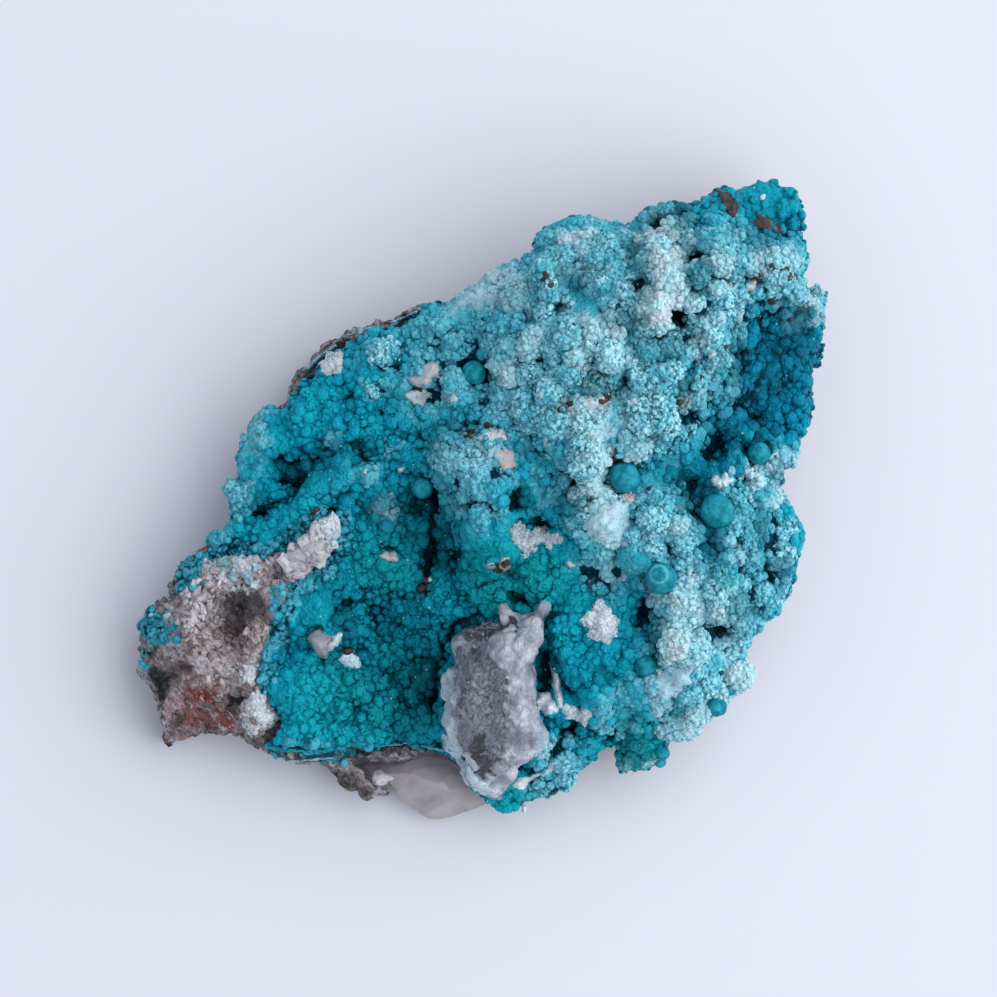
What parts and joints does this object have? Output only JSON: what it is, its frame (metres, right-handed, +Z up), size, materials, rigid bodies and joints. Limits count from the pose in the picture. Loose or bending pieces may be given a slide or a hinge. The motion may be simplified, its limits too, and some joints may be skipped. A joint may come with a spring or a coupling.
{
  "type": "chrysocolla specimen",
  "caption": "Hand specimen of chrysocolla: a knobbly blue-green crust on flat-based host rock, with a grey chalcedony nodule, quartz and small malachite balls.",
  "frame": {"origin": "centre of the overall box in plan, on the flat face that the specimen rests on", "axes": "+Z up, away from the rest face; +X along the specimen's length, towards its narrow crusted end, away from the bare rock; +Y to its left when seen from the bare rock's end, so the quartz and the nodule are on the -Y side"},
  "size_m": [0.0846, 0.0544, 0.0244],
  "materials": {
    "host_rock": "matte",
    "chrysocolla": "satin",
    "quartz": "satin",
    "chalcedony": "satin",
    "malachite": "satin"
  },
  "bodies": {
    "root": {"host_rock": "host_rock", "chrysocolla_crust": "chrysocolla", "quartz_mass": "quartz", "chalcedony_nodule": "chalcedony", "malachite_ball_1": "malachite", "malachite_ball_2": "malachite", "malachite_ball_3": "malachite", "malachite_ball_4": "malachite", "malachite_ball_5": "malachite", "malachite_ball_6": "malachite"}
  },
  "joints": []
}
